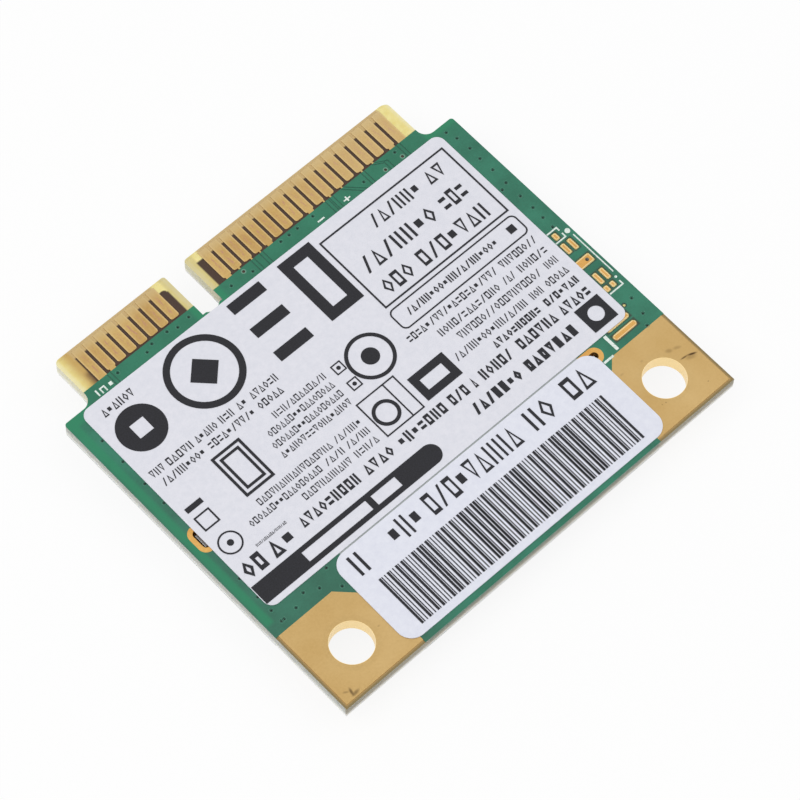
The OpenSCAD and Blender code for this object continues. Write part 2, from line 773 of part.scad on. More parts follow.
// Each part hangs from the board's parts side
module hung(x, y, w, l, h) {
    translate([x - w / 2, y - l / 2, z_parts - h]) cube([w, l, h]);
}

module chip(x, y, w, l, h) {
    difference() {
        hung(x, y, w, l, h);
        translate([x - w / 2 + 0.7, y + l / 2 - 0.7, z_parts - h - 1]) cylinder(h = 1.05, r = 0.25);
    }
}

module radio_chip() {
    color("#26272b") chip(radio_x, radio_y, radio_w, radio_w, radio_t);
}

module bluetooth_chip() {
    color("#26272b") chip(bluetooth_x, bluetooth_y, bluetooth_w, bluetooth_w, bluetooth_t);
}

module flash_chip() {
    color("#2b2c30") chip(bluetooth_x, flash_y, flash_w, flash_l, flash_t);
}

module flash_leads() {
    color("#c2c4c4") for (i = [-1.5:1.5], s = [-1, 1])
        hung(bluetooth_x + i * flash_w / 4.5, flash_y + s * (flash_l + lead_l) / 2, 0.4, lead_l, 0.3);
}

crystal_base_t = crystal_t * 0.6;

module crystal_bases() {
    color("#3d3a36") for (x = [left_x, right_x]) hung(x, crystal_y, crystal_w, crystal_l, crystal_base_t);
}

module crystal_lids() {
    color("#cfcfc8") for (x = [left_x, right_x]) translate([0, 0, -crystal_base_t])
        hung(x, crystal_y, crystal_w - 0.3, crystal_l - 0.3, crystal_t - crystal_base_t);
}

module coils() {
    color("#46433f") for (i = [0, 1])
        hung(left_x, coil_y + i * (coil_w + side_gap), coil_w, coil_w, coil_t);
}

module filters() {
    color("#d8d6cc") for (i = [-1.5:1.5])
        hung(radio_x + i * (filter_w + 0.5), filter_y, filter_w, filter_l, filter_t);
}

// Small two-ended parts: a row behind the radio chip, a column beside it, one by the right wall
row_at = [for (i = [-2.5:2.5]) [radio_x + i * (part_w + 0.9), row_y]];
mid_at = [for (i = [-2:2]) [mid_x, radio_y + i * (part_l + 0.7)]];
side_at = [for (i = [0:2]) [right_x, inner_y + side_gap + part_l / 2 + i * (part_l + 0.7)]];
rear_at = [for (s = [-1, 1]) [s * 0.4, socket_y]];
cap_at = concat([for (i = [0:3]) row_at[i]], [for (i = [0:3]) mid_at[i]],
    [side_at[1], side_at[2]], rear_at);
res_at = [row_at[4], row_at[5], mid_at[4], side_at[0]];

module two_end(x, y, h, ends) {
    end_l = part_l * 0.2;
    if (ends) {
        for (s = [-1, 1]) hung(x, y + s * (part_l - end_l) / 2, part_w, end_l, h);
    } else {
        hung(x, y, part_w, part_l - 2 * end_l, h);
    }
}

module capacitors() {
    color("#b08d62") for (p = cap_at) two_end(p[0], p[1], cap_t, false);
}

module capacitor_ends() {
    color("#c9c9c6") for (p = cap_at) two_end(p[0], p[1], cap_t, true);
}

module resistors() {
    color("#2a2b2e") for (p = res_at) two_end(p[0], p[1], res_t, false);
}

module resistor_ends() {
    color("#c9c9c6") for (p = res_at) two_end(p[0], p[1], res_t, true);
}

// Coax sockets

module sockets() {
    for (s = [-1, 1]) translate([s * socket_x, socket_y, z_parts]) children();
}

module socket_bases() {
    color("#e6e2d6") sockets() translate([-socket_b / 2, -socket_b / 2, -socket_t])
        cube([socket_b, socket_b, socket_t]);
}

module socket_rings() {
    color("#d9b26a") sockets() translate([0, 0, -socket_h]) difference() {
        union() {
            cylinder(h = socket_h - socket_t, d = socket_d);
            cylinder(h = 0.12, d = socket_d + 0.1);
        }
        translate([0, 0, -1]) cylinder(h = socket_h + 1, d = socket_d - 0.3);
    }
}

module socket_pins() {
    color("#d9b26a") sockets() translate([0, 0, 0.2 - socket_h])
        cylinder(h = socket_h - socket_t - 0.2, d = 0.5);
}

module socket_pads2() {
    for (s = [-1, 1], t = [-1, 1]) translate([s * socket_x + t * (socket_b / 2 + 0.1), socket_y])
        square([0.8, socket_b - 0.4], center = true);
}

module socket_pads() {
    color("#d2ab6d") translate([0, 0, z_parts]) linear_extrude(mask_t) socket_pads2();
}

module test_pads2() {
    for (i = [-2:2]) translate([i * 1.6, socket_y + 2.6]) circle(0.4);
}

module test_pads() {
    color("#d2ab6d") translate([0, 0, z_parts]) linear_extrude(mask_t) test_pads2();
}

laminate();
mask_label_side();
mask_parts_side();
contacts_label_side();
contacts_parts_side();
ground_pads_label_side();
ground_pads_parts_side();
hole_plating();
slot_plating();
probe_pads();
long_pads();
ring_vias();
silk_label_side();
silk_parts_side();
main_label();
label_frames();
label_marks();
label_rows();
label_bar();
code_label();
code_marks();
code_bars();
shield_track();
shield_frame();
shield_lid();
radio_chip();
bluetooth_chip();
flash_chip();
flash_leads();
crystal_bases();
crystal_lids();
coils();
filters();
capacitors();
capacitor_ends();
resistors();
resistor_ends();
socket_bases();
socket_rings();
socket_pins();
socket_pads();
test_pads();
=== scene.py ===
"""Half-length wireless card for a laptop's edge socket, lying label side up on its shield can.

Lengths are worked in millimetres and scaled to metres where meshes are made.
"""
import math

import bmesh
import bpy
from mathutils import Matrix, Vector


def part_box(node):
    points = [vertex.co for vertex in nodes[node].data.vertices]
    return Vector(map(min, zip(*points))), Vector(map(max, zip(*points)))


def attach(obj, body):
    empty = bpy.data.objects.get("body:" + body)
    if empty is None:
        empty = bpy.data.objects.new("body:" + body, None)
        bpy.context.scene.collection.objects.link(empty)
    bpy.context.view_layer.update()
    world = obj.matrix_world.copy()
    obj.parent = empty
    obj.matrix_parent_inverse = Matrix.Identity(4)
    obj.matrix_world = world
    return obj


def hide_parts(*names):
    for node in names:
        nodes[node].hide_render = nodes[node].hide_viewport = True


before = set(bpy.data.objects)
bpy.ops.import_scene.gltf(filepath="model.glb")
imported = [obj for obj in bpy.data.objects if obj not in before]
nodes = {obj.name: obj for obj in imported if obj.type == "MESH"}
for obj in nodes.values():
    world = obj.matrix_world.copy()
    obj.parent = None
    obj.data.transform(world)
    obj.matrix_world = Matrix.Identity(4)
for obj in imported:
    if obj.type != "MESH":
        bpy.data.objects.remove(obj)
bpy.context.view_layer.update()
MM = 0.001

# The board.
# Woven glass cloth pressed in epoxy with copper layers inside, routed to its outline and key notch.
# Bare resin shows on the tongue, where the inner copper's edge makes the room between contacts brown.


def linear(hex_colour):
    """Turns an sRGB hex value into linear colour with full alpha."""
    parts = [int(hex_colour[i:i + 2], 16) / 255 for i in (1, 3, 5)]
    return tuple(c / 12.92 if c <= 0.04045 else ((c + 0.055) / 1.055) ** 2.4 for c in parts) + (1.0,)


def feed(tree, node, values):
    """Sets a node's inputs to values, or links them to other nodes' sockets."""
    for key, value in values.items():
        if isinstance(value, bpy.types.NodeSocket):
            tree.links.new(value, node.inputs[key])
        else:
            node.inputs[key].default_value = value


def add_node(tree, kind, inputs=None, **settings):
    """Adds a node with its settings and inputs."""
    node = tree.nodes.new(kind)
    for name, value in settings.items():
        setattr(node, name, value)
    feed(tree, node, inputs or {})
    return node


def reckon(tree, operation, *values):
    """One step of arithmetic on numbers and sockets."""
    return add_node(tree, "ShaderNodeMath", dict(enumerate(values)), operation=operation).outputs[0]


def ranged(tree, value, low, high, to_low=0.0, to_high=1.0, kind="LINEAR"):
    """Takes a value from low..high to to_low..to_high, and holds it beyond both ends."""
    return add_node(tree, "ShaderNodeMapRange", {
        "Value": value, "From Min": low, "From Max": high, "To Min": to_low, "To Max": to_high},
        interpolation_type=kind).outputs[0]


def noise(tree, point, scale, detail, roughness=0.5):
    """Noise with grains about 1 / scale millimetres across."""
    return add_node(tree, "ShaderNodeTexNoise", {
        "Vector": point, "Scale": scale, "Detail": detail, "Roughness": roughness}).outputs["Fac"]


def two_tone(tree, share, low, dark, high, light):
    """A colour that runs from dark where share is low to light where it is high."""
    ramp = add_node(tree, "ShaderNodeValToRGB", {0: share})
    for stop, position, hex_colour in zip(ramp.color_ramp.elements, (low, high), (dark, light)):
        stop.position = position
        stop.color = linear(hex_colour)
    return ramp.outputs[0]


def mixed(tree, share, first, second):
    """Mixes two colours."""
    return add_node(tree, "ShaderNodeMix", {0: share, 6: first, 7: second}, data_type="RGBA").outputs[2]


def relief(tree, height, strength, depth):
    """Bump with a depth in millimetres."""
    return add_node(tree, "ShaderNodeBump", {
        "Height": height, "Strength": strength, "Distance": depth * MM}).outputs[0]


def new_finish(name):
    """Starts a material: its node tree, its shader, and a point in millimetres on Object coordinates."""
    finish = bpy.data.materials.new(name)
    finish.use_nodes = True
    tree = finish.node_tree
    place = add_node(tree, "ShaderNodeTexCoord")
    point = add_node(tree, "ShaderNodeVectorMath", {0: place.outputs["Object"], "Scale": 1 / MM},
                     operation="SCALE")
    return finish, tree, tree.nodes["Principled BSDF"], point.outputs[0]


def patch(tree, point, low, high, soft):
    """A mask that is 1 inside a soft-edged rectangle, given by two corners in millimetres."""
    axes = add_node(tree, "ShaderNodeSeparateXYZ", {0: point})
    sides = []
    for axis in (0, 1):
        middle = (low[axis] + high[axis]) / 2
        half = (high[axis] - low[axis]) / 2
        away = reckon(tree, "ABSOLUTE", reckon(tree, "SUBTRACT", axes.outputs[axis], middle))
        sides.append(ranged(tree, away, half + soft / 2, half - soft / 2, kind="SMOOTHSTEP"))
    return reckon(tree, "MULTIPLY", *sides)


def blot(tree, point, centre, radii, turn=0.0, soft=0.6):
    """A mask that is 1 inside a soft-edged ellipse, turned by some degrees, at any height."""
    any_height = 1e6
    local = add_node(tree, "ShaderNodeMapping", {
        "Vector": point, "Location": (*centre, 0), "Rotation": (0, 0, math.radians(turn)),
        "Scale": (*radii, any_height)}, vector_type="TEXTURE")
    away = add_node(tree, "ShaderNodeVectorMath", {0: local.outputs[0]}, operation="LENGTH")
    return ranged(tree, away.outputs["Value"], 1.0, 1.0 - soft, kind="SMOOTHSTEP")


def either(tree, masks):
    """The higher of several masks."""
    top = masks[0]
    for mask in masks[1:]:
        top = reckon(tree, "MAXIMUM", top, mask)
    return top


def lay(tree, under, layers):
    """Lays colours over a colour in turn, each through its own mask and at its own strength."""
    for mask, hex_colour, strength in layers:
        under = mixed(tree, reckon(tree, "MULTIPLY", mask, strength), under, linear(hex_colour))
    return under


def grained(name, scale, detail, tones, inputs, depth=0.0):
    """A finish in two tones of fine grain. With a depth, in millimetres, the grain stands up too."""
    finish, tree, shader, point = new_finish(name)
    grain = noise(tree, point, scale, detail)
    feed(tree, shader, {"Base Color": two_tone(tree, grain, *tones), **inputs})
    if depth:
        feed(tree, shader, {"Normal": relief(tree, grain, 0.3, depth)})
    return finish


def dress(finish, *names):
    """Gives CAD nodes their finish."""
    for name in names:
        for held in nodes[name].material_slots:
            held.material = finish


# places on the board in millimetres: its sides, rear, shoulders and front, the tongue and its notch,
# and the heights of its two faces
side_x = 15
rear_y = -13.4
shoulder_y = 9.95
front_y = 13.4
tongue_x = 12.85
notch_x = -3.8
mask_front_y = 10.75
parts_z = 1.6
label_z = 2.6
# patches that run off the board end here
off_x = 16
off_y = 14


def glass_epoxy():
    """FR-4 laminate, routed: straw resin on its faces, grey fibrous side walls in layers."""
    finish, tree, shader, point = new_finish("routed glass epoxy")
    height = add_node(tree, "ShaderNodeSeparateXYZ", {0: point}).outputs[2]
    # cloth in layers about 0.07 mm thick, with fibre streaks about 0.6 mm long
    layers_in = add_node(tree, "ShaderNodeMapping", {"Vector": point, "Scale": (1, 1, 9)})
    fibre = noise(tree, layers_in.outputs[0], 1.6, 6.0, 0.7)
    wall = two_tone(tree, fibre, 0.34, "#96988f", 0.62, "#dbdcd6")
    # the mask runs down and stains the walls' top, handling browns the rear wall, and near the foot
    # the glass lets the table's light through
    # the tongue's walls are painted pale cream: partly the bare resin's colour, partly painted light against
    # their shade
    tongue_wall = patch(tree, point, (-tongue_x - 0.2, mask_front_y - 0.6),
                        (tongue_x + 0.2, front_y + 1), 0.3)
    rear_wall = patch(tree, point, (-off_x, -off_y), (off_x, rear_y + 0.1), 0.1)
    masked_rear = patch(tree, point, (-8.8, -off_y), (9, rear_y + 0.1), 0.1)
    high_on_wall = ranged(tree, height, parts_z + 0.35, label_z - 0.1, kind="SMOOTHSTEP")
    rear_stain = reckon(tree, "MULTIPLY", masked_rear, high_on_wall)
    low_on_wall = ranged(tree, height, parts_z + 0.5, parts_z + 0.1, kind="SMOOTHSTEP")
    walls = lay(tree, wall, [
        (rear_wall, "#8f7c58", 0.6), (high_on_wall, "#85897e", 0.3), (tongue_wall, "#f1ebca", 0.7),
        (rear_stain, "#62756a", 0.75), (low_on_wall, "#fafaf6", 0.8)])
    # bare resin over glass cloth with a 0.4 mm thread pitch
    resin = two_tone(tree, noise(tree, point, 2.5, 4.0), 0.3, "#ead988", 0.7, "#f2e59c")
    # beside the ground pads the resin is dull over the copper's edge
    rear = patch(tree, point, (-off_x, -off_y), (off_x, -7), 0.2)
    rear_inside = patch(tree, point, (-side_x + 0.14, rear_y + 0.14), (side_x - 0.14, -7), 0.16)
    # the tongue's cut edges let light through and look paler; beside the notch the resin gets painted shade
    tongue_back = 9
    cut_edges = either(tree, [
        patch(tree, point, (x0, tongue_back), (x1, off_y), soft) for x0, x1, soft in (
            (-13.2, -12.62, 0.25), (12.68, 13.2, 0.25), (notch_x - 1, notch_x - 0.62, 0.2),
            (notch_x + 0.62, notch_x + 1, 0.2))])
    # painted shade: a duller straw on the resin beside the notch
    shade_beside_notch = patch(tree, point, (notch_x - 1.2, tongue_back), (notch_x + 1.3, off_y), 0.2)
    # inner copper shows between the contacts, short of the front edge, and ever darker towards the first
    gap_back = mask_front_y - 1
    gap_front = 12.72
    copper = either(tree, [
        patch(tree, point, (-11.8, gap_back), (notch_x - 1.85, gap_front), 0.12),
        patch(tree, point, (notch_x - 2, gap_back), (notch_x - 1.2, gap_front - 0.25), 0.12),
        blot(tree, point, (notch_x - 1.54, gap_front - 0.25), (0.34, 0.26), soft=0.35),
        patch(tree, point, (notch_x + 1.22, gap_back), (11.9, gap_front), 0.12)])
    between_fronts = either(tree, [
        patch(tree, point, (-11.85, gap_front - 0.15), (notch_x - 1.75, off_y), 0.25),
        patch(tree, point, (notch_x + 1.75, gap_front - 0.15), (12.1, off_y), 0.25)])
    near_first = patch(tree, point, (-12.35, gap_back), (-11, off_y), 0.8)
    at_first = patch(tree, point, (-12.0, gap_back), (-11, 11.6), 0.5)
    faces = lay(tree, resin, [
        (rear, "#857247", 1), (rear_inside, "#bd9a5f", 1), (cut_edges, "#efe8c0", 0.6),
        (shade_beside_notch, "#c0b078", 0.5), (near_first, "#c0974f", 0.85), (at_first, "#553521", 0.85),
        (between_fronts, "#cbae78", 1), (copper, "#3d2718", 1)])
    # faces are told from walls by how level they lie
    facing = add_node(tree, "ShaderNodeNewGeometry")
    facing_axes = add_node(tree, "ShaderNodeSeparateXYZ", {0: facing.outputs["Normal"]})
    face_part = ranged(tree, reckon(tree, "ABSOLUTE", facing_axes.outputs[2]), 0.15, 0.5)
    feed(tree, shader, {
        "Base Color": mixed(tree, face_part, walls, faces),
        "Roughness": ranged(tree, fibre, 0.0, 1.0, 0.45, 0.75),
        "Normal": relief(tree, fibre, 0.35, 0.03),
        "Subsurface Weight": 0.12,
        "Subsurface Radius": (1.0, 0.9, 0.5),
        "Subsurface Scale": 0.3 * MM})
    return finish


dress(glass_epoxy(), "laminate")

# Solder mask.
# Green epoxy ink on both faces, printed wet over the copper and cured, so traces stand up under it
# and dip at their edges. Where no copper lies below, the light passes to the resin and it looks brighter.


def loose_boxes(name):
    """Corner pairs in millimetres of the boxes round a CAD node's loose parts."""
    shape = bmesh.new()
    shape.from_mesh(nodes[name].data)
    bmesh.ops.remove_doubles(shape, verts=shape.verts, dist=1e-7)
    left = set(shape.verts)
    boxes = []
    while left:
        part, edge_of = [], [left.pop()]
        while edge_of:
            vert = edge_of.pop()
            part.append(vert.co / MM)
            for edge in vert.link_edges:
                other = edge.other_vert(vert)
                if other in left:
                    left.remove(other)
                    edge_of.append(other)
        boxes.append(((min(c.x for c in part), min(c.y for c in part)),
                      (max(c.x for c in part), max(c.y for c in part))))
    shape.free()
    return boxes


def solder_mask(name, clear_areas, pads=()):
    """Glossy green cured ink: deep over copper, bright over bare resin, with painted shade in the gaps round
    pads.
    """
    finish, tree, shader, point = new_finish(name)
    height = add_node(tree, "ShaderNodeSeparateXYZ", {0: point}).outputs[2]
    # ink thickness wanders over about 2 mm, and copper grain shows at about 0.1 mm
    wander = noise(tree, point, 0.55, 3.0)
    grain = noise(tree, point, 9.0, 2.0)
    both = reckon(tree, "MULTIPLY_ADD", grain, 0.35, wander)
    ink = two_tone(tree, both, 0.5, "#08634a", 0.85, "#1f775c")
    clear = either(tree, [patch(tree, point, low, high, 0.3) for low, high in clear_areas])
    # the ink is darker below the label face: in its dips, and all over the parts side
    dip = ranged(tree, height, label_z - 0.008, label_z - 0.014)
    # the ink lies thicker and greyer over the left rear corner, and thinner over the tongue's traces
    thick = patch(tree, point, (-18, -16), (-7, 4), 5)
    thin = patch(tree, point, (-18, 9), (18, 12), 1)
    layers = [
        (thick, "#2c4f42", 0.3), (thin, "#00744f", 0.3), (clear, "#068056", 0.75), (dip, "#0d4436", 0.5)]
    if pads:
        # width of the gap in the copper round each pad
        gap = 0.12
        # the dark green round each pad is partly the copper's gap and partly painted shade
        pad_gap_shade = either(tree, [
            patch(tree, point, (low[0] - gap, low[1] - gap), (high[0] + gap, high[1] + gap), 0.1)
            for low, high in pads])
        # pale dust and glue in the seam between the two labels
        seam_low, seam_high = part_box("code_label")
        seam_y = seam_high.y / MM
        seam = patch(tree, point, (seam_low.x / MM + 0.9, seam_y - 0.2),
                     (seam_high.x / MM - 0.9, seam_y + 0.3), 0.1)
        layers += [(pad_gap_shade, "#1c3320", 0.9), (seam, "#aab0ad", 1)]
    copper_height = reckon(tree, "MULTIPLY_ADD", clear, -1.0, both)
    feed(tree, shader, {
        "Base Color": lay(tree, ink, layers), "Normal": relief(tree, copper_height, 0.3, 0.02),
        "Roughness": 0.38, "Coat Weight": 0.2, "Coat Roughness": 0.16})
    return finish


bare_pads = loose_boxes("probe_pads") + loose_boxes("long_pads")
label_mask = solder_mask("green solder mask, label side", [
    ((-14.92, -6.9), (-14.42, 9.6)), ((-off_x, 9.3), (-13.1, 11.2)), ((12.9, 9.62), (off_x, 11.2)),
    ((-4.95, 9.4), (-2.65, 11.2))], bare_pads)
dress(label_mask, "mask_label_side")
dress(solder_mask("green solder mask, parts side", [((-14.95, -7), (-14.45, 9.6))]), "mask_parts_side")

# Via lands.
# Each plated via keeps a copper ring round its mouth, which lifts the mask into a thin rim.
# Their places are measured from the board's shoulders and from the notch.
land_points = (
    [(side_x - x, shoulder_y - y) for x, y in [
        (0.95, 0.55), (0.75, 1.25), (0.65, 2.25), (0.7, 3.15), (0.67, 4.2), (0.7, 5.35), (1.2, 5.55),
        (0.7, 6.55), (0.7, 7.6), (0.73, 8.47), (0.75, 9.3), (0.65, 15.7), (0.87, 16.85), (1.25, 17.57)]]
    + [(-14.07, shoulder_y - y) for y in (2.2, 3.95, 5.8, 7.4, 13.65, 15.15, 16.25, 17.1)]
    + [(-side_x + x, shoulder_y - y) for x, y in [
        (1.1, 17.1), (2.05, 17.05), (2.95, 16.65), (3.8, 17.05), (4.9, 16.4), (4.8, 17.8)]]
    + [(notch_x + x, mask_front_y - y) for x, y in [
        (-6.8, 0.35), (-4.7, 0.48), (-4.15, 0.25), (-3, 0.25), (-2.35, 0.45), (-1.45, 0.37), (1.7, 0.5),
        (3.25, 0.62), (5.75, 0.25), (6.4, 0.25), (7.05, 0.25), (8.25, 0.25), (12, 0.55), (14.7, 0.3)]])


def piece(name, mesh, finish, slot_name, *stands_for):
    """Adds a mesh that rides on the card, with its finish, and hides the nodes it stands for; slot_name is
    not used.
    """
    made = bpy.data.objects.new(name, mesh)
    bpy.context.scene.collection.objects.link(made)
    mesh.materials.clear()
    mesh.materials.append(finish)
    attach(made, "root")
    if stands_for:
        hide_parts(*stands_for)


def growth_tree(name, seed, numbers):
    """Starts a node tree that takes a mesh, some numbers and a finish, and gives a mesh."""
    tree = bpy.data.node_groups.new(name, "GeometryNodeTree")
    tree.interface.new_socket(seed, in_out="INPUT", socket_type="NodeSocketGeometry")
    kinds = dict.fromkeys(numbers, "NodeSocketFloat")
    kinds["Finish"] = "NodeSocketMaterial"
    sockets = {}
    for label, kind in kinds.items():
        sockets[label] = tree.interface.new_socket(label, in_out="INPUT", socket_type=kind).identifier
    tree.interface.new_socket("Grown", in_out="OUTPUT", socket_type="NodeSocketGeometry")
    return tree, sockets, add_node(tree, "NodeGroupInput")


def set_on_points(tree, given, inputs):
    """Ends a node tree: sets copies on points, makes them real and gives them their finish."""
    placed = add_node(tree, "GeometryNodeInstanceOnPoints", inputs)
    real = add_node(tree, "GeometryNodeRealizeInstances", {0: placed.outputs[0]})
    painted = add_node(tree, "GeometryNodeSetMaterial", {
        "Geometry": real.outputs[0], "Material": given.outputs["Finish"]})
    add_node(tree, "NodeGroupOutput", {0: painted.outputs[0]})


def ring_tree():
    """Nodes that set a small tube ring on every point."""
    tree, sockets, given = growth_tree("rings on points", "Points", ("Ring radius", "Tube radius"))
    round_path = add_node(tree, "GeometryNodeCurvePrimitiveCircle", {
        "Resolution": 24, "Radius": given.outputs["Ring radius"]})
    tube = add_node(tree, "GeometryNodeCurvePrimitiveCircle", {
        "Resolution": 6, "Radius": given.outputs["Tube radius"]})
    ring = add_node(tree, "GeometryNodeCurveToMesh", {
        "Curve": round_path.outputs[0], "Profile Curve": tube.outputs[0]})
    set_on_points(tree, given, {"Points": given.outputs["Points"], "Instance": ring.outputs[0]})
    return tree, sockets


def grown(name, seed_mesh, tree, values):
    """Runs a node tree on a mesh and keeps the result as a plain mesh."""
    carrier = bpy.data.objects.new(name, seed_mesh)
    bpy.context.scene.collection.objects.link(carrier)
    growth = carrier.modifiers.new("growth", "NODES")
    growth.node_group = tree
    for identifier, value in values.items():
        growth[identifier] = value
    made = bpy.data.meshes.new_from_object(carrier.evaluated_get(bpy.context.evaluated_depsgraph_get()))
    bpy.data.objects.remove(carrier)
    return made


def point_mesh(points, z):
    """A mesh of loose points at one height, from places in millimetres."""
    mesh = bpy.data.meshes.new("points")
    mesh.from_pydata([(x * MM, y * MM, z * MM) for x, y in points], [], [])
    return mesh


# mask lifted over a copper land: the same ink, a little thinner and paler
rim_finish = grained("solder mask over via lands", 12.0, 2.0, (0.0, "#24735a", 1.0, "#4b917a"), {
    "Roughness": 0.3, "Coat Weight": 0.35})
rings, ring_inputs = ring_tree()
land_mesh = grown("via_lands", point_mesh(land_points, label_z - 0.004), rings, {
    ring_inputs["Ring radius"]: 0.135 * MM, ring_inputs["Tube radius"]: 0.014 * MM,
    ring_inputs["Finish"]: rim_finish})
piece("via_lands", land_mesh, rim_finish, "solder_mask")

# mask run down into each via is thick, so nearly black green
plug_finish = grained("solder mask plugs in vias", 20.0, 2.0, (0.0, "#050b09", 1.0, "#0c1d17"), {
    "Roughness": 0.6, "Specular IOR Level": 0.2})
# a plug is a ring whose tube nearly meets itself in the middle, sunk in the dip
plug_mesh = grown("via_plugs", point_mesh(land_points, label_z - 0.035), rings, {
    ring_inputs["Ring radius"]: 0.032 * MM, ring_inputs["Tube radius"]: 0.03 * MM,
    ring_inputs["Finish"]: plug_finish})
piece("via_plugs", plug_mesh, plug_finish, "solder_mask")

# Contacts.
# Copper foil with nickel and hard gold, scuffed by sockets, on both faces of the tongue, with painted
# highlights on its edges and front.


def unworn(tree, point):
    """No wear: a plated surface nothing rubs."""
    return []


def gold_plate(name, deep, bright, wear=unworn, rough=0.4):
    """Plated gold: satin metal with a fine grain. wear gives the layers to lay over it: wear, dirt, and
    painted highlights and reflections.
    """
    finish, tree, shader, point = new_finish(name)
    # grain of the copper foil below, about 0.12 mm, and a slow stain over 3 mm
    grain = noise(tree, point, 8.0, 3.0)
    stain = noise(tree, point, 0.35, 2.0)
    tone = reckon(tree, "MULTIPLY_ADD", grain, 0.45, stain)
    plate = two_tone(tree, tone, 0.45, deep, 1.0, bright)
    feed(tree, shader, {
        "Base Color": lay(tree, plate, wear(tree, point)),
        "Roughness": ranged(tree, grain, 0.3, 0.7, rough - 0.06, rough + 0.08),
        "Normal": relief(tree, grain, 0.2, 0.008),
        "Metallic": 0.85})
    return finish


contact_pitch = 0.8
contact_width = 0.6
contact_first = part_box("contacts_label_side")[0].x / MM + contact_width / 2


def socket_wear_and_highlights(tree, point):
    """Contacts: a scuffed line down each middle from the socket's spring, and painted highlights on the
    edges and the front.
    """
    axes = add_node(tree, "ShaderNodeSeparateXYZ", {0: point})
    from_first = reckon(tree, "SUBTRACT", axes.outputs[0], contact_first)
    off_middle = reckon(tree, "PINGPONG", from_first, contact_pitch / 2)
    # a painted highlight along each contact's rounded edges, in paler gold
    edge = ranged(tree, off_middle, 0.2, 0.28)
    middle = ranged(tree, off_middle, 0.13, 0.02)
    # scuffs about 0.05 mm wide and 0.3 mm long
    drawn_out = add_node(tree, "ShaderNodeMapping", {"Vector": point, "Scale": (18, 3, 1)})
    scuffed = ranged(tree, noise(tree, drawn_out.outputs[0], 1.0, 2.0), 0.48, 0.62)
    touched = patch(tree, point, (-off_x, 11.2), (off_x, 12.5), 0.5)
    wear = reckon(tree, "MULTIPLY", reckon(tree, "MULTIPLY", middle, touched), scuffed)
    # a painted highlight on the bevelled front of the contacts
    front_highlight = patch(tree, point, (-off_x, 12.75), (off_x, 14.5), 0.9)
    # the far end of the row is laid paler
    paler_far_end = patch(tree, point, (6, 9), (18, 15), 7)
    return [
        (edge, "#dec38b", 0.6), (wear, "#b98a72", 1), (paler_far_end, "#d9c292", 0.3), (front_highlight, "#cbb486", 0.7)]


contact_gold = gold_plate("hard gold on contacts", "#b79257", "#cdae6f", socket_wear_and_highlights)
dress(contact_gold, "contacts_label_side", "contacts_parts_side")

# Corner pads and screw holes.
# Bare plated copper where the screw heads press and ground the card, with dirt and scratches from fitting.
# Each mark has a centre, radii, a turn in degrees and a strength.
pad_marks = [
    ((13.85, -10.5), (0.36, 0.08), -6, 0.75), ((14.36, -10.64), (0.42, 0.1), -22, 0.95),
    ((14.2, -10.72), (0.5, 0.24), -18, 0.3), ((13.5, -9.62), (0.32, 0.2), -30, 0.3),
    ((14.0, -9.78), (0.36, 0.16), -24, 0.25), ((10.45, -8.9), (0.22, 0.1), 0, 0.18),
    ((11.9, -9.05), (0.14, 0.1), 0, 0.18), ((11.05, -11.85), (0.06, 0.06), 0, 0.5),
    ((10.8, -11.8), (0.06, 0.06), 0, 0.4), ((13.8, -12.5), (0.07, 0.05), 0, 0.5),
    ((-14.1, -12.8), (0.13, 0.36), -14, 0.7), ((-13.95, -13.0), (0.4, 0.16), 8, 0.55),
    ((-14.35, -12.62), (0.25, 0.1), -30, 0.35), ((-10.35, -10.95), (0.12, 0.08), 0, 0.25)]


def fitting_dirt(tree, point):
    """Dirt and scratches left where a screw was put in."""
    return [(blot(tree, point, centre, radii, turn, 0.8), "#4a3520", strength)
            for centre, radii, turn, strength in pad_marks]


hole_low, hole_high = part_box("hole_plating")
hole_y = (hole_low.y + hole_high.y) / 2 / MM
hole_x = 12.1
hole_r = 1.3


def dirt_and_bore_reflection(tree, point):
    """Dirt from fitting, and the wall of a hole painted pale cream: a painted reflection of light from below
    shining along it.
    """
    bores = [blot(tree, point, (side * hole_x, hole_y), (hole_r + 0.02, hole_r + 0.02), soft=0.01)
             for side in (-1, 1)]
    # the bore walls get a painted reflection in pale cream
    return fitting_dirt(tree, point) + [(either(tree, bores), "#ffe3a6", 1)]


pad_gold = gold_plate("immersion gold on corner pads", "#bd9b61", "#c9aa73", fitting_dirt)
dress(pad_gold, "ground_pads_label_side", "ground_pads_parts_side")
barrel_gold = gold_plate("gold in and round the screw holes", "#bd9b61", "#c9aa73", dirt_and_bore_reflection, 0.34)
dress(barrel_gold, "hole_plating")

# Small pads, slots and test points.
# The same gold, left open in the mask for factory probes, round the shield's slots and on the parts side.
small_gold = gold_plate("immersion gold on small pads", "#d09a50", "#e0b268", rough=0.35)
dress(small_gold, "slot_plating", "test_pads", "socket_pads", "shield_track")


def rounded_rims(tree, point):
    """Etched pads round off at their edges, so a pale rim about 0.05 mm wide catches the light."""
    rim = 0.045
    inner = either(tree, [
        patch(tree, point, (low[0] + rim, low[1] + rim), (high[0] - rim, high[1] - rim), 0.06)
        for low, high in bare_pads])
    return [(reckon(tree, "SUBTRACT", 1.0, inner), "#f7dfb0", 0.8)]


rimmed_gold = gold_plate("immersion gold on probe pads", "#cd994f", "#dcae66", rounded_rims, 0.35)
dress(rimmed_gold, "probe_pads", "long_pads")


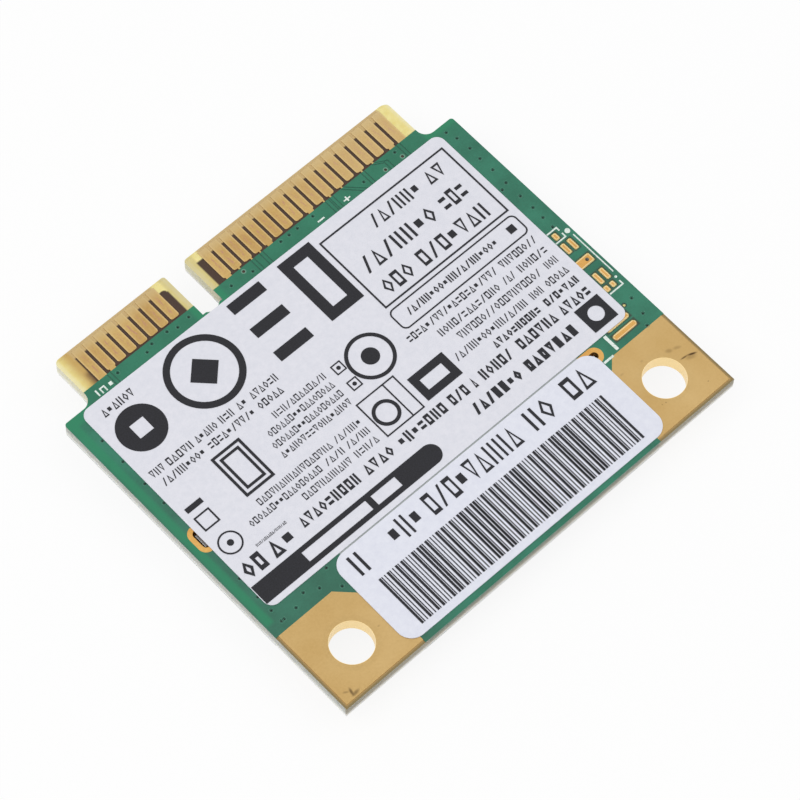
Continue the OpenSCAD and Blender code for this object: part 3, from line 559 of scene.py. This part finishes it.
def dull_ring():
    """Tented via rings: mask thinned over copper, a matt grey green."""
    finish, tree, shader, point = new_finish("thin mask on via rings")
    ink = two_tone(tree, noise(tree, point, 14.0, 3.0), 0.0, "#4f7d69", 1.0, "#74a08a")
    # the rear ring lies under thick ink
    thick = patch(tree, point, (11, -9), (15, -4), 0.2)
    feed(tree, shader, {"Base Color": lay(tree, ink, [(thick, "#1b3d30", 1)]), "Roughness": 0.4})
    return finish


dress(dull_ring(), "ring_vias")

# White ink on the board.
# Matt epoxy ink screened on the mask in strokes so thin that a little green shows through the grain.
screen_ink = grained("white screen ink", 11.0, 3.0, (0.3, "#b9d2c4", 0.55, "#eef5f0"), {
    "Roughness": 0.6}, 0.01)
dress(screen_ink, "silk_label_side", "silk_parts_side")

# Labels.
# Two sheets of white polyester film with a matt print coat, die cut with round corners and stuck on.


def film(name, dark, light):
    """Matt coated polyester film: near white, with a faint grey mottle and a soft sheen."""
    finish, tree, shader, point = new_finish(name)
    # coat mottle about 0.3 mm across, over a slow wave from the board's copper below
    mottle = noise(tree, point, 3.2, 4.0, 0.6)
    wave = noise(tree, point, 0.3, 2.0)
    height = reckon(tree, "MULTIPLY_ADD", wave, 4.0, mottle)
    feed(tree, shader, {
        "Base Color": two_tone(tree, mottle, 0.3, dark, 0.7, light),
        "Normal": relief(tree, height, 0.2, 0.02),
        "Roughness": 0.5})
    return finish


def eased(name, node, width, finish, slot_name):
    """Stands a copy of a CAD node in its place, with its sharp edges eased by some millimetres."""
    mesh = nodes[node].data.copy()
    shape = bmesh.new()
    shape.from_mesh(mesh)
    bmesh.ops.remove_doubles(shape, verts=shape.verts, dist=1e-7)
    bmesh.ops.dissolve_limit(shape, angle_limit=math.radians(1), verts=shape.verts, edges=shape.edges)
    sharp = [edge for edge in shape.edges if edge.calc_face_angle(0) > math.radians(35)]
    bmesh.ops.bevel(shape, geom=sharp, offset=width * MM, segments=2, affect="EDGES", profile=0.5,
                    clamp_overlap=True)
    shape.to_mesh(mesh)
    shape.free()
    piece(name, mesh, finish, slot_name, node)


main_film = film("coated film, main label", "#dedfe8", "#e6e6ee")
code_film = film("coated film, code label", "#e0e2ee", "#e8eaf4")
eased("main_label_film", "main_label", 0.02, main_film, "label_film")
eased("code_label_film", "code_label", 0.02, code_film, "label_film")

# Print on the labels.
# Black resin ribbon ink, melted onto the film in rows of small plain figures: bars, blocks, diamonds,
# squares and triangles. It is soft black, a little uneven, with a low sheen.
ink_finish = grained("black ribbon ink", 16.0, 3.0, (0.35, "#0e0e13", 0.75, "#23232b"), {
    "Roughness": 0.5, "Specular IOR Level": 0.35})

# low y, high y, width of a stroke as a share of the pitch, then the ends of each group of figures
print_rows = [
    [7.45, 8.35, 0.2, 6.6, 10.4, 10.9, 12.35], [5.5, 6.6, 0.2, 4.25, 9.95, 10.4, 12.35],
    [3.7, 4.75, 0.19, 4.25, 6.5, 7, 12.35], [1.95, 2.45, 0.23, 4.2, 11.2],
    [0.62, 1.12, 0.19, 3, 9.9, 10.2, 13], [-0.28, 0.22, 0.18, 4.6, 9.3, 9.6, 10.5, 10.8, 13],
    [-1.15, -0.65, 0.17, 5.3, 11.7, 12.1, 13], [-2.05, -1.55, 0.18, 4.2, 9.75, 10.1, 11, 11.3, 13],
    [-2.9, -2.4, 0.26, 6.4, 10, 10.4, 13], [-3.95, -3.25, 0.25, -9.2, -4.8, -4.4, -2.2],
    [-3.95, -3.25, 0.25, -1.8, 1.8, 2.1, 3.5, 3.8, 4.1],
    [-3.95, -3.25, 0.25, 4.5, 6.9, 7.4, 10.4, 10.7, 13],
    [-5.3, -4.55, 0.34, 2.7, 6.4, 6.8, 10.7], [8.6, 9.15, 0.2, -12.9, -10.6],
    [3.92, 4.42, 0.18, -13.4, -12.4, -12.2, -10.3, -10.1, -8.5],
    [3.92, 4.42, 0.18, -8.3, -7.3, -7, -6.3, -6, -4],
    [3.12, 3.62, 0.19, -13.2, -10.1, -9.8, -6.4, -6.1, -4.3], [2.17, 2.62, 0.16, -5.85, -1.95],
    [1.45, 1.9, 0.16, -6.85, -1.95], [0.72, 1.17, 0.16, -7.15, -1.95], [0, 0.45, 0.18, -7.15, -1.95],
    [-1.3, -0.85, 0.16, -10.1, -4.6, -4.4, -2.4], [-2, -1.55, 0.17, -11.3, -6, -5.7, -4.3, -4.1, -2.4],
    [-2.75, -2.3, 0.16, -8, -4.4, -4.1, -2.4], [-3.05, -2.87, 0.16, -11.9, -9.7],
    [-4.3, -3.2, 0.25, -13.5, -11.9, -11.6, -9.7]]
# the same for the code label's one row
code_row = [-8.25, -6.87, 0.18, -9.05, -8.05, -6.3, -3.9, -3.5, 3.55, 4.3, 6.3, 7.2, 9.25]


def figure_kinds(stroke):
    """Outlines of each plain figure in a unit cell, drawn so that no figure touches the next."""
    return [
        [[(0.06, 0.0), (0.06 + stroke, 0.0), (0.06 + stroke, 1.0), (0.06, 1.0)],
         [(0.74 - stroke, 0.0), (0.74, 0.0), (0.74, 1.0), (0.74 - stroke, 1.0)]],
        [[(0.06, 0.12), (0.76, 0.12), (0.76, 0.12 + stroke), (0.06, 0.12 + stroke)],
         [(0.06, 0.84 - stroke), (0.76, 0.84 - stroke), (0.76, 0.84), (0.06, 0.84)]],
        [[(0.06, 0.0), (0.06 + stroke, 0.0), (0.8, 1.0), (0.8 - stroke, 1.0)]],
        [[(0.12, 0.3), (0.66, 0.3), (0.66, 0.74), (0.12, 0.74)]]]


# corners of figures drawn as a line round a shape
ring_kinds = [
    [(0.42, 0.0), (0.82, 0.5), (0.42, 1.0), (0.02, 0.5)],
    [(0.06, 0.0), (0.78, 0.0), (0.78, 1.0), (0.06, 1.0)],
    [(0.02, 0.0), (0.82, 0.0), (0.42, 1.0)],
    [(0.02, 1.0), (0.42, 0.0), (0.82, 1.0)]]


def one_figure(turn, stroke):
    """Outlines of one figure: a plain kind for the first five turns, then a ring of four-cornered pieces."""
    plain_turns = 5
    if turn < plain_turns:
        kinds = figure_kinds(stroke)
        return kinds[turn % len(kinds)]
    outer = ring_kinds[turn % len(ring_kinds)]
    middle_u = sum(u for u, v in outer) / len(outer)
    middle_v = sum(v for u, v in outer) / len(outer)
    # half a figure's width and height in its cell
    half_u, half_v = 0.4, 0.5
    inner_u = 1 - stroke / half_u
    inner_v = 1 - stroke / half_v
    inner = [(middle_u + (u - middle_u) * inner_u, middle_v + (v - middle_v) * inner_v) for u, v in outer]
    return [list(piece_corners) for piece_corners in zip(
        outer, outer[1:] + outer[:1], inner[1:] + inner[:1], inner)]


def figures(rows, pitch_share):
    """Rows of figures: plain bars, blocks, and diamonds, squares and triangles drawn in line."""
    made = []
    turns = 11
    for y0, y1, stroke, *ends in rows:
        for x0, x1 in zip(ends[::2], ends[1::2]):
            count = max(1, round((x1 - x0) / ((y1 - y0) * pitch_share)))
            pitch = (x1 - x0) / count
            for i in range(count):
                # steps through the kinds in an order that differs from group to group
                turn = (i * i * 3 + i * 5 + round(abs(x0) * 7) + round(abs(y0) * 3)) % turns
                made += [[(x0 + (i + u) * pitch, y0 + v * (y1 - y0)) for u, v in outline]
                         for outline in one_figure(turn, stroke)]
    return made


def closed_mesh(name, corners, faces):
    """A mesh with its faces turned outwards."""
    mesh = bpy.data.meshes.new(name)
    mesh.from_pydata(corners, [], faces)
    shape = bmesh.new()
    shape.from_mesh(mesh)
    bmesh.ops.recalc_face_normals(shape, faces=shape.faces)
    shape.to_mesh(mesh)
    shape.free()
    return mesh


def stamped(name, outlines, label, middle, stretch):
    """Thin blocks for outlines measured about a label's middle, stretched and turned with the label."""
    low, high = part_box(label)
    centre = (low + high) / 2
    turn = Matrix.Rotation(math.radians(label_turn), 4, "Z")
    corners, faces = [], []
    for outline in outlines:
        first = len(corners)
        count = len(outline)
        for z in (ink_low, ink_high):
            for x, y in outline:
                corner = turn @ Vector(((x - middle[0]) * stretch * MM, (y - middle[1]) * MM, 0))
                corners.append((centre.x + corner.x, centre.y + corner.y, z * MM))
        faces.append([first + i for i in reversed(range(count))])
        faces.append([first + count + i for i in range(count)])
        for i in range(count):
            after = (i + 1) % count
            faces.append([first + i, first + after, first + count + after, first + count + i])
    return closed_mesh(name, corners, faces)


ink_low, ink_high = (corner.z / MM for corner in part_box("label_rows"))
# degrees by which both labels lie askew
label_turn = -0.35
# the rows were measured on a label 27.4 mm long, which is 27.56 mm long in fact
row_stretch = 27.56 / 27.4
row_mesh = stamped("row_print", figures(print_rows, 0.7), "main_label", (-0.14, 1.71), row_stretch)
piece("row_print", row_mesh, ink_finish, "label_ink", "label_rows")
code_mesh = stamped("code_print", figures([code_row], 0.6), "code_label", (0.15, -9.74), 1)
piece("code_print", code_mesh, ink_finish, "label_ink", "code_marks")
dress(ink_finish, "label_frames", "label_marks", "label_bar", "code_bars")

# Shield can.
# Tinned steel sheet: a soldered frame with a lid pressed over it, its skirt cut into fingers.


def tinned_sheet(name, dark, light, rough):
    """Rolled and tinned steel: grey metal with fine rolling lines along X and faint smudges."""
    finish, tree, shader, point = new_finish(name)
    # rolling lines 0.05 mm apart, drawn 20 times as long, and smudges about 5 mm across
    along = add_node(tree, "ShaderNodeMapping", {"Vector": point, "Scale": (1, 20, 20)})
    lines = noise(tree, along.outputs[0], 1.0, 3.0)
    smudges = noise(tree, point, 0.2, 3.0)
    # a few hair scratches, each some millimetres long
    skew = add_node(tree, "ShaderNodeMapping", {
        "Vector": point, "Rotation": (0, 0, math.radians(24)), "Scale": (0.25, 9, 1)})
    scratch = ranged(tree, noise(tree, skew.outputs[0], 1.0, 1.0), 0.7, 0.76)
    tone = reckon(tree, "MULTIPLY_ADD", lines, 0.35, smudges)
    metal = two_tone(tree, tone, 0.4, dark, 1.0, light)
    feed(tree, shader, {
        "Base Color": lay(tree, metal, [(scratch, "#eceded", 0.5)]),
        "Roughness": ranged(tree, tone, 0.4, 1.0, rough - 0.05, rough + 0.08),
        "Normal": relief(tree, lines, 0.2, 0.003),
        "Metallic": 1.0})
    return finish


sheet_steel = tinned_sheet("tinned steel sheet", "#b1b4b6", "#cdcfd0", 0.3)
eased("lid_pressing", "shield_lid", 0.05, sheet_steel, "shield_metal")
dress(sheet_steel, "shield_frame")

# Solder round the shield frame.
# Paste melted along the frame's foot draws up into a small concave fillet on the gold track.


def fillet_loop(name, low, high, foot, rise, bottom_z):
    """A concave fillet that runs round the outside of a rectangle on the board's underside."""
    arc = [(0.0, -rise), (foot * 0.22, -rise * 0.45), (foot * 0.5, -rise * 0.18), (foot, 0.0), (0.0, 0.0)]
    corners, faces = [], []
    for sx, sy in ((0, 0), (1, 0), (1, 1), (0, 1)):
        for out, down in arc:
            x = high[0] + out if sx else low[0] - out
            y = high[1] + out if sy else low[1] - out
            corners.append((x * MM, y * MM, (bottom_z + down) * MM))
    size = len(arc)
    for side in range(4):
        after = (side + 1) % 4
        for i in range(size):
            j = (i + 1) % size
            faces.append([side * size + i, side * size + j, after * size + j, after * size + i])
    return closed_mesh(name, corners, faces)


# lead-free solder: pale grey metal with a slightly frosty grain
solder_finish = tinned_sheet("frosty solder", "#b4b6b4", "#dcdeda", 0.36)
frame_low, frame_high = (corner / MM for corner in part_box("shield_frame"))
fillet_mesh = fillet_loop("frame_solder", frame_low, frame_high, 0.26, 0.22, parts_z)
piece("frame_solder", fillet_mesh, solder_finish, "tin")

# Chips and small parts under the shield.
# Moulded epoxy chips, ceramic capacitors, coils and filters with tinned ends, all reflowed in one pass.


def fired_block(name, dark, light, grain_mm, rough, metallic=0.0):
    """Moulded or fired small part: one colour with the grain of its filler."""
    return grained(name, 1 / grain_mm, 4.0, (0.3, dark, 0.7, light), {
        "Roughness": rough, "Metallic": metallic}, 0.01)


epoxy_black = fired_block("moulded black epoxy", "#1d1e21", "#303136", 0.08, 0.6)
tin_end = fired_block("tinned ends", "#b5b6b4", "#d9dad8", 0.1, 0.32, 1.0)
ferrite = fired_block("dark ferrite and ceramic", "#34312e", "#4b4743", 0.1, 0.7)
white_ceramic = fired_block("pale ceramic", "#cfccc0", "#e4e1d8", 0.12, 0.5)
tan_ceramic = fired_block("tan capacitor ceramic", "#9c7a52", "#bd9a6e", 0.08, 0.5)
resistor_glass = fired_block("black resistor glass", "#1b1c1f", "#2e2f33", 0.1, 0.35)
small_parts = [
    ("radio_chip_body", "radio_chip", epoxy_black, "chip_epoxy"),
    ("bluetooth_chip_body", "bluetooth_chip", epoxy_black, "chip_epoxy"),
    ("flash_chip_body", "flash_chip", epoxy_black, "chip_epoxy"),
    ("flash_chip_leads", "flash_leads", tin_end, "tin"),
    ("crystal_base_blocks", "crystal_bases", ferrite, "dark_ceramic"),
    ("crystal_lid_caps", "crystal_lids", tin_end, "tin"),
    ("coil_blocks", "coils", ferrite, "dark_ceramic"),
    ("filter_blocks", "filters", white_ceramic, "pale_ceramic"),
    ("capacitor_blocks", "capacitors", tan_ceramic, "tan_ceramic"),
    ("capacitor_end_caps", "capacitor_ends", tin_end, "tin"),
    ("resistor_blocks", "resistors", resistor_glass, "chip_epoxy"),
    ("resistor_end_caps", "resistor_ends", tin_end, "tin")]
for name, node, finish, slot_name in small_parts:
    eased(name, node, 0.03, finish, slot_name)

# Coax sockets.
# A pale moulded base holds a turned and gilded ring with a pin in its middle, for an antenna cable's plug.
socket_plastic = fired_block("pale moulded plastic", "#d8d3c4", "#ece8dc", 0.15, 0.5)
socket_gold = gold_plate("bright turned gold", "#c99a52", "#e9c483", rough=0.25)
eased("socket_base_mouldings", "socket_bases", 0.05, socket_plastic, "socket_plastic")
eased("socket_ring_turnings", "socket_rings", 0.03, socket_gold, "socket_gold")
eased("socket_pin_turnings", "socket_pins", 0.05, socket_gold, "socket_gold")

# Fibre ends.
# Routing leaves cut glass fibres standing a few hundredths of a millimetre out of the side walls.


def speck_tree():
    """Nodes that scatter small grains over faces."""
    tree, sockets, given = growth_tree("grains on walls", "Walls", (
        "Grains per square metre", "Grain radius"))
    spread = add_node(tree, "GeometryNodeDistributePointsOnFaces", {
        "Mesh": given.outputs["Walls"], "Density": given.outputs["Grains per square metre"], "Seed": 7})
    grain = add_node(tree, "GeometryNodeMeshIcoSphere", {
        "Radius": given.outputs["Grain radius"], "Subdivisions": 1})
    size = add_node(tree, "FunctionNodeRandomValue", {2: 0.4, 3: 1.3, "Seed": 11}, data_type="FLOAT")
    set_on_points(tree, given, {
        "Points": spread.outputs["Points"], "Instance": grain.outputs[0], "Scale": size.outputs[1]})
    return tree, sockets


def wall_mesh():
    """The straight side walls of the board, as bare strips to scatter on."""
    mesh = bpy.data.meshes.new("walls")
    corners, faces = [], []
    # each strip stops a little short of the corners and of both faces
    low_z, high_z = 1.7, 2.48
    for x0, y0, x1, y1 in ((-side_x, -13.3, -side_x, 9.7), (side_x, -13.3, side_x, 9.7),
                           (-14.9, rear_y, 14.9, rear_y)):
        first = len(corners)
        corners += [(x * MM, y * MM, z * MM) for x, y, z in (
            (x0, y0, low_z), (x1, y1, low_z), (x1, y1, high_z), (x0, y0, high_z))]
        faces.append([first, first + 1, first + 2, first + 3])
    mesh.from_pydata(corners, [], faces)
    return mesh


fibre_glass = fired_block("cut glass fibre", "#cfcabb", "#efece2", 0.05, 0.5)
specks, speck_inputs = speck_tree()
speck_mesh = grown("fibre_ends", wall_mesh(), specks, {
    speck_inputs["Grains per square metre"]: 9.0e6, speck_inputs["Grain radius"]: 0.02 * MM,
    speck_inputs["Finish"]: fibre_glass})
piece("fibre_ends", speck_mesh, fibre_glass, "laminate")

# Floor.
# A plain white sheet under the card, seen through from below.


def seen_directly(tree):
    """1 for the rays of the camera, of metal and of clear surfaces, which see the backdrop's own white."""
    ray = add_node(tree, "ShaderNodeLightPath")
    return either(tree, [ray.outputs[f"Is {kind} Ray"] for kind in ("Camera", "Glossy", "Transmission")])


def white_sheet():
    """Matt white card, open from below, that is mostly seen as the white backdrop."""
    finish, tree, shader, _ = new_finish("matt white sheet")
    feed(tree, shader, {"Base Color": linear("#fafafa"), "Roughness": 0.9, "Specular IOR Level": 0.0})
    backdrop_share = 0.88
    share = reckon(tree, "MULTIPLY", seen_directly(tree), backdrop_share)
    white = add_node(tree, "ShaderNodeEmission", {"Color": linear("#ffffff"), "Strength": 1.0})
    face = add_node(tree, "ShaderNodeMixShader", {0: share, 1: shader.outputs[0], 2: white.outputs[0]})
    side = add_node(tree, "ShaderNodeNewGeometry")
    open_below = add_node(tree, "ShaderNodeBsdfTransparent")
    sheet = add_node(tree, "ShaderNodeMixShader", {
        0: side.outputs["Backfacing"], 1: face.outputs[0], 2: open_below.outputs[0]})
    tree.links.new(sheet.outputs[0], tree.nodes["Material Output"].inputs["Surface"])
    return finish


floor_mesh = bpy.data.meshes.new("floor")
# metres from the middle to each side, and a hair's breadth below the card
reach = 1.5
floor_z = -0.02 * MM
floor_mesh.from_pydata([
    (-reach, -reach, floor_z), (reach, -reach, floor_z), (reach, reach, floor_z), (-reach, reach, floor_z)],
    [], [[0, 1, 2, 3]])
floor_mesh.materials.append(white_sheet())
floor = bpy.data.objects.new("floor", floor_mesh)
bpy.context.scene.collection.objects.link(floor)

# Light.
# Even studio light: a white room, with one large soft lamp and a weaker one facing it.
world = bpy.data.worlds.new("white room")
bpy.context.scene.world = world
world.use_nodes = True
room = world.node_tree
room.nodes.clear()
glow = add_node(room, "ShaderNodeBackground", {"Color": linear("#ffffff"), "Strength": 0.62})
backdrop = add_node(room, "ShaderNodeBackground", {"Color": linear("#ffffff"), "Strength": 1.0})
room_mix = add_node(room, "ShaderNodeMixShader", {
    0: seen_directly(room), 1: glow.outputs[0], 2: backdrop.outputs[0]})
add_node(room, "ShaderNodeOutputWorld", {0: room_mix.outputs[0]})


def softbox(name, azimuth, elevation, distance, width, power):
    """A square lamp that faces the card from a direction in degrees."""
    a, e = math.radians(azimuth), math.radians(elevation)
    away = Vector((math.sin(a) * math.cos(e), -math.cos(a) * math.cos(e), math.sin(e)))
    lamp = bpy.data.lights.new(name, "AREA")
    lamp.size = width
    lamp.energy = power
    made = bpy.data.objects.new(name, lamp)
    made.location = away * distance
    made.rotation_euler = away.to_track_quat("Z", "Y").to_euler()
    bpy.context.scene.collection.objects.link(made)


softbox("key_lamp", -100, 55, 0.4, 0.28, 0.52)
softbox("fill_lamp", 60, 50, 0.45, 0.35, 0.3)

# Camera.
# It stands at the photograph's viewing angle, with a long lens and a small roll.
azimuth, elevation, roll = (math.radians(angle) for angle in (-46.3848, 62.9134, 3.6358))
back = Vector((math.sin(azimuth) * math.cos(elevation), -math.cos(azimuth) * math.cos(elevation),
               math.sin(elevation)))
level = Vector((math.cos(azimuth), math.sin(azimuth), 0))
upright = back.cross(level)
right = math.cos(roll) * level + math.sin(roll) * upright
up = math.cos(roll) * upright - math.sin(roll) * level
# millimetres: the lens, the point looked at and how far off the camera stands
lens_mm = 173.23
aim_mm = Vector((0.0269, -1.601, 2.6))
distance_mm = 217.3366
camera_data = bpy.data.cameras.new("camera")
camera_data.sensor_width = 36
camera_data.lens = lens_mm
camera_data.clip_start = 0.01
camera_data.clip_end = 10
camera = bpy.data.objects.new("camera", camera_data)
stand = aim_mm * MM + back * distance_mm * MM
camera.matrix_world = Matrix.Translation(stand) @ Matrix((right, up, back)).transposed().to_4x4()
bpy.context.scene.collection.objects.link(camera)
bpy.context.scene.camera = camera
bpy.context.scene.view_settings.view_transform = "Standard"
